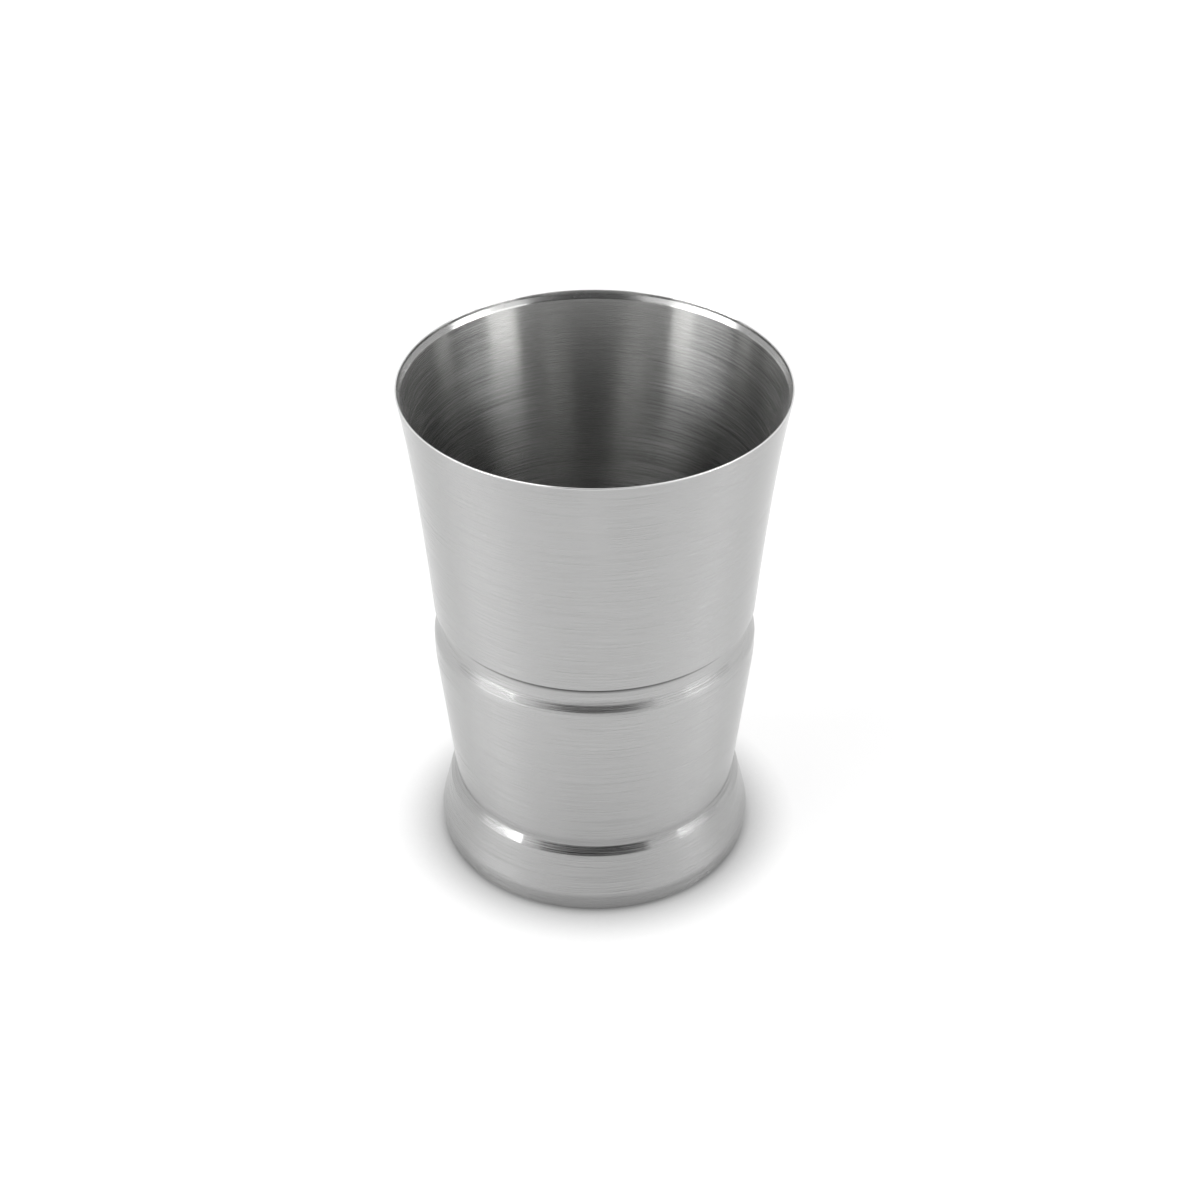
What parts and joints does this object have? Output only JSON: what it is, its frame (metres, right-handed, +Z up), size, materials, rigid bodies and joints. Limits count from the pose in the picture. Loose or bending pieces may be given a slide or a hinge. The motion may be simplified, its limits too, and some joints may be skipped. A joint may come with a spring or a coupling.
{
  "type": "julep cup",
  "caption": "Double-wall stainless steel julep cup with a flared wall, a rolled groove and band round the middle, a waisted foot and a thin lip, welded and ground flush inside.",
  "frame": {"origin": "centre of the foot's ring on the table", "axes": "+Z up along the cup's axis; the cup is round, so X and Y are free"},
  "size_m": [0.082, 0.082, 0.114],
  "materials": {
    "brushed_shell": "fine circumferential brushing",
    "satin_liner": "satin, spun lines",
    "brushed_base": "satin",
    "polished_lip": "polished",
    "ground_weld": "ground"
  },
  "bodies": {
    "root": {"outer_shell": "brushed_shell", "inner_cup": "satin_liner", "base_plate": "brushed_base", "rim_weld": "polished_lip", "foot_weld": "ground_weld"}
  },
  "joints": []
}
